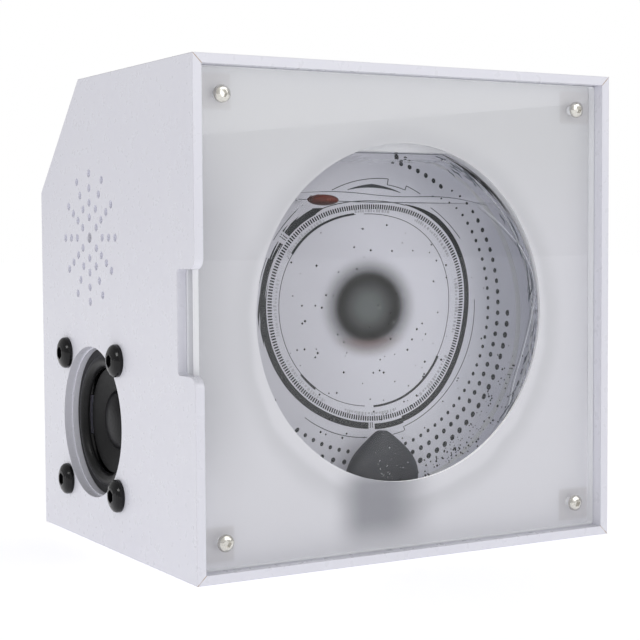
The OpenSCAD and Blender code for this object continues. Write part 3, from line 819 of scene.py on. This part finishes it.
def ferrofluid_dome():
    """The magnetic liquid at rest: a dome with a slightly pointed top, narrowing to the neck."""
    middle = FLASK_Y + FLASK_T / 2
    half_t = FLASK_T / 2 - GLASS_T - 0.2
    neck_r = 9.5 - GLASS_T - 0.2
    top, belly, waist, neck_z, low = 39.6, 24.4, 21.5, 15.0, 9.0
    widest, half_deep = 14.1, 4.4
    levels, sides = 48, 60
    verts, faces = [], []
    for i in range(levels + 1):
        z = top - (top - low) * (i / levels) ** 1.5
        u = min(1.0, (top - z) / (top - belly))
        wide = widest * math.sin(math.pi / 2 * u) ** 0.8 + 1.5 * (1 - u) ** 6
        deep = half_deep * min(1.0, 0.25 + wide / widest)
        f = min(1.0, max(0.0, (waist - z) / (waist - neck_z)))
        f = 3 * f * f - 2 * f ** 3
        wide, deep = wide + (neck_r - wide) * f, deep + (neck_r - deep) * f
        y = middle + (half_t - half_deep) * (1 - f)
        for k in range(sides):
            a = math.tau * k / sides
            c, s = math.cos(a), math.sin(a)
            verts.append(cab(wide * math.copysign(abs(c) ** 0.85, c),
                             y + deep * math.copysign(abs(s) ** 0.85, s), z))
    for i in range(levels):
        for k in range(sides):
            n = (k + 1) % sides
            a, b = i * sides, (i + 1) * sides
            faces.append((a + k, b + k, b + n, a + n))
    faces.append(tuple(range(sides)))
    faces.append(tuple(reversed(range(levels * sides, (levels + 1) * sides))))
    dome = mesh_piece("ferrofluid_dome", verts, faces, finishes["ferrofluid"],
                      smooth=True)
    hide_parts("ferrofluid")


def specks(name, count, seed, spot, size_mm, material):
    """Tiny grains, each a small octahedron, at places that spot(draw) returns."""
    draw = random.Random(seed)
    verts, faces = [], []
    for _ in range(count):
        x, y, z = spot(draw)
        r = draw.uniform(*size_mm) / 2
        first = len(verts)
        for d in ((r, 0, 0), (0, r, 0), (-r, 0, 0), (0, -r, 0), (0, 0, r), (0, 0, -r)):
            verts.append(cab(x + d[0], y + d[1], z + d[2]))
        for k in range(4):
            n = (k + 1) % 4
            faces.append((first + k, first + n, first + 4))
            faces.append((first + n, first + k, first + 5))
    return mesh_piece(name, verts, faces, material)


FRONT_WALL = FLASK_Y + GLASS_T + 0.4
BACK_WALL = FLASK_Y + FLASK_T - GLASS_T - 0.4


def anywhere(draw):
    """Somewhere on the flask's flat walls, below the liquid's level."""
    a, r = draw.uniform(0, math.tau), 44 * math.sqrt(draw.random())
    return r * math.cos(a) - 4, draw.choice((FRONT_WALL, BACK_WALL)), 73 + r * math.sin(a) * 0.85


def lower_right(draw):
    """Along the flask's lower right shoulder, where the grains settle."""
    a = math.radians(draw.triangular(-88, -5, -55))
    r = draw.gauss(54.0, 1.2)
    return r * math.cos(a), draw.uniform(15, 25), FLASK_Z + r * math.sin(a)


def on_dome(draw):
    a = math.radians(draw.uniform(20, 160))
    r = 12 * math.sqrt(draw.random())
    return r * math.cos(a), BACK_WALL - 8.9, 24 + r * math.sin(a) * 0.9


def on_core(draw):
    a, r = draw.uniform(0, math.tau), 12 * math.sqrt(draw.random())
    return r * math.cos(a), FRONT_WALL, 80 + r * math.sin(a)


def on_wall(angle, r):
    """A place just behind the flask's front wall, at an angle and radius about its centre."""
    a = math.radians(angle)
    z = min(FLASK_Z + r * math.sin(a), FLASK_TOP_Z - 0.8)
    return r * math.cos(a), FRONT_WALL + 0.2, z


def shoulder_streaks():
    """Painted dark streaks on the glass along the flask's upper right shoulder, for its shade and
    for dots bent by the curved glass.
    """
    draw = random.Random(21)
    runs = []
    for low, high, longest, count in ((58, 80, 8, 12), (-35, 52, 14, 14)):
        for _ in range(count):
            start, length = draw.uniform(low, high), draw.uniform(3, longest)
            r, drift = draw.uniform(54.0, 56.4), draw.uniform(-2.0, 0.3)
            runs.append([on_wall(start - length * k / 3,
                                 r + drift * k / 3 + draw.uniform(-0.2, 0.2)) for k in range(4)])
    wire("shoulder_streaks", runs, 0.16, ink("streak_dark", srgb(84, 91, 100), srgb(56, 62, 70)))


def shoulder_line():
    """The fold of light along the inside of the flask's right shoulder, dark beside pale."""
    fold = ((50, 49.5), (36, 52.0), (23, 55.0), (11.5, 56.2), (2, 54.3), (-11, 51.9), (-25, 51.5),
            (-36, 53.8), (-48, 54.6))
    for name, out, light, dark in (
            ("shoulder_dark", 0.0, srgb(136, 140, 146), srgb(112, 116, 123)),
            ("shoulder_pale", 0.8, srgb(236, 238, 242), srgb(222, 225, 230))):
        wire(name, [[on_wall(angle, r + out) for angle, r in fold]], 0.1, ink(name, light, dark))


def flat_edge_line():
    """A painted dark line of shade along the front edge of the flask's flat top, which follows its
    rounded shoulder.
    """
    shoulder, flat = 7.0, FLASK_TOP_Z - FLASK_Z
    run = []
    for k in range(9):
        x = -20 + 5 * k
        past = math.hypot(x, flat) - (FLASK_R - shoulder)
        run.append((x, FLASK_Y + shoulder - math.sqrt(shoulder ** 2 - past ** 2) + 0.3,
                    FLASK_TOP_Z - 0.3))
    wire("flat_edge_line", [run], 0.14, ink("edge_dark", srgb(104, 108, 114), srgb(80, 84, 90)))


def wall_lines():
    """Painted dark lines of shade where the liquid and its film meet the glass."""
    dark = ink("line_dark", srgb(92, 97, 103), srgb(70, 74, 80))
    level = [(-44, BACK_WALL, 117.0), (-30, BACK_WALL, 117.4), (-8, BACK_WALL, 116.8),
             (15, BACK_WALL, 116.6), (38, BACK_WALL, 116.4)]
    front = [(-38, FRONT_WALL, 119.0), (-25, FRONT_WALL, 119.6), (-2, FRONT_WALL, 118.2),
             (20, FRONT_WALL, 118.0), (36, FRONT_WALL, 115.4)]
    wire("level_lines", [level, front], 0.13, dark)


def cone_lip(side):
    """The thin edge of the cone that reaches under the foot of its surround."""
    sign = -1 if side == "left" else 1
    low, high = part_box(f"{side}_speaker_cone")
    centre = (low + high) / 2
    outer_x = low.x if side == "left" else high.x
    radius = (high.z - low.z) / 2
    section = ((-0.3, 0.35), (-0.3, 0.6), (2.3, 1.5), (2.3, 1.25))
    verts, faces, sides = [], [], 72
    for k in range(sides):
        a = math.tau * k / sides
        for out, deep in section:
            r = radius + out * MM
            verts.append((outer_x - sign * deep * MM, centre.y + r * math.cos(a),
                          centre.z + r * math.sin(a)))
    for k in range(sides):
        n = (k + 1) % sides
        for i in range(4):
            j = (i + 1) % 4
            faces.append((4 * k + i, 4 * k + j, 4 * n + j, 4 * n + i)[::sign])
    return mesh_piece(f"{side}_cone_lip", verts, faces, finishes["cone_paper"],
                      body=f"{side}_cone")


for side in ("left", "right"):
    cone_lip(side)
ferrofluid_dome()
blob("stray_droplet", DROP, DROP_SIZE, droplet())
black_grain = ink("grain_black", srgb(12, 12, 14), srgb(6, 6, 7), 0.0)
specks("black_specks", 120, 3, anywhere, (0.3, 1.0), black_grain)
specks("settled_specks", 150, 5, lower_right, (0.3, 1.0), black_grain)
specks("core_specks", 34, 11, on_core, (0.2, 0.45),
       ink("grain_white", srgb(214, 216, 222), srgb(196, 198, 204)))
specks("pale_specks", 26, 9, on_dome, (0.25, 0.5),
       ink("grain_pale", srgb(200, 202, 208), srgb(180, 182, 188)))
wall_lines()
shoulder_streaks()
shoulder_line()
flat_edge_line()


# ---------------------------------------------------------------------------------------
# Floor, light and camera
# ---------------------------------------------------------------------------------------


def floor():
    size = 6.0
    mesh = bpy.data.meshes.new("floor")
    mesh.from_pydata([(-size, -size, 0), (size, -size, 0), (size, size, 0), (-size, size, 0)],
                     [], [(0, 1, 2, 3)])
    obj = bpy.data.objects.new("floor", mesh)
    scene.collection.objects.link(obj)
    made, tree, place = new_material("floor_paper")
    tone = blend_colour(tree, noise(tree, place, 40), srgb(244, 244, 246), srgb(240, 240, 243))
    finish_material(tree, add(tree, "BsdfPrincipled", {
        "Base Color": tone, "Roughness": 0.9, "Emission Color": WHITE,
        "Emission Strength": 0.5}).outputs[0])
    mesh.materials.append(made)


def world():
    """White all round, as the camera sees it.

    The light that falls on the object fades overhead, and glossy faces mirror a dimmer room.
    """
    made = bpy.data.worlds.new("studio")
    scene.world = made
    made.use_nodes = True
    tree = made.node_tree
    tree.nodes.clear()
    seen = add(tree, "Background", {"Color": WHITE, "Strength": 1.0})
    height = add(tree, "SeparateXYZ", [add(tree, "TexCoord").outputs["Generated"]]).outputs[2]
    light = add(tree, "Background", {"Color": WHITE,
                                     "Strength": between(tree, height, 0.05, 0.6, 1.0, 0.5)})
    room = add(tree, "Background", {"Color": WHITE, "Strength": 0.5})
    path = add(tree, "LightPath").outputs
    lit = add(tree, "MixShader", [path["Is Glossy Ray"], light.outputs[0], room.outputs[0]])
    mixed = add(tree, "MixShader", [path["Is Camera Ray"], lit.outputs[0], seen.outputs[0]])
    out = add(tree, "OutputWorld")
    tree.links.new(mixed.outputs[0], out.inputs["Surface"])


def soft_light(name, place, target, size, power, roll=0.0):
    """A rectangular soft light that faces a target, turned by roll degrees."""
    data = bpy.data.lights.new(name, "AREA")
    data.shape = "RECTANGLE"
    data.size, data.size_y = size
    data.energy = power
    obj = bpy.data.objects.new(name, data)
    scene.collection.objects.link(obj)
    facing = (Vector(target) - Vector(place)).to_track_quat("-Z", "Y").to_matrix().to_4x4()
    turn = Matrix.Rotation(math.radians(roll), 4, "Z")
    obj.matrix_world = Matrix.Translation(place) @ facing @ turn
    return obj


# Yaw, pitch and roll in degrees, and the lens and place in millimetres
CAMERA_TURNS = (30.281, 3.063, -0.327)
CAMERA_LENS = 87.63
CAMERA_PLACE = (-281.8, -419.6, 105.2)


def camera():
    """The camera, placed and turned in the cabinet's own frame."""
    yaw, pitch, roll = (math.radians(turn) for turn in CAMERA_TURNS)
    ahead = Vector((math.sin(yaw) * math.cos(pitch), math.cos(yaw) * math.cos(pitch),
                    -math.sin(pitch)))
    right = Vector((math.cos(yaw), -math.sin(yaw), 0))
    up = right.cross(ahead)
    x_axis = right * math.cos(roll) + up * math.sin(roll)
    y_axis = up * math.cos(roll) - right * math.sin(roll)
    data = bpy.data.cameras.new("camera")
    data.lens = CAMERA_LENS
    data.sensor_width = 36.0
    data.clip_start = 0.01
    data.clip_end = 50.0
    obj = bpy.data.objects.new("camera", data)
    scene.collection.objects.link(obj)
    turn = Matrix((x_axis, y_axis, -ahead)).transposed().to_4x4()
    obj.matrix_world = Matrix.Translation(cab(*CAMERA_PLACE)) @ turn
    scene.camera = obj


floor()
world()
soft_light("key", (-0.6, -2.6, 1.6), (0, 0, 0.08), (3.0, 3.0), 8)
card = soft_light("card", (0.62, -0.9, 0.629), (0.62, 0.0, 0.629), (1.2, 0.8), 5.4, roll=5.8)
strip = soft_light("strip", (-1.3, -0.2, 1.0), (0, 0, 0.06), (0.3, 0.7), 4.0)
for reflected in (card, strip):
    reflected.visible_diffuse = False
camera()
scene.view_settings.view_transform = "Standard"
scene.cycles.use_denoising = True
scene.cycles.max_bounces = 14
scene.cycles.transmission_bounces = 12
scene.cycles.transparent_max_bounces = 16
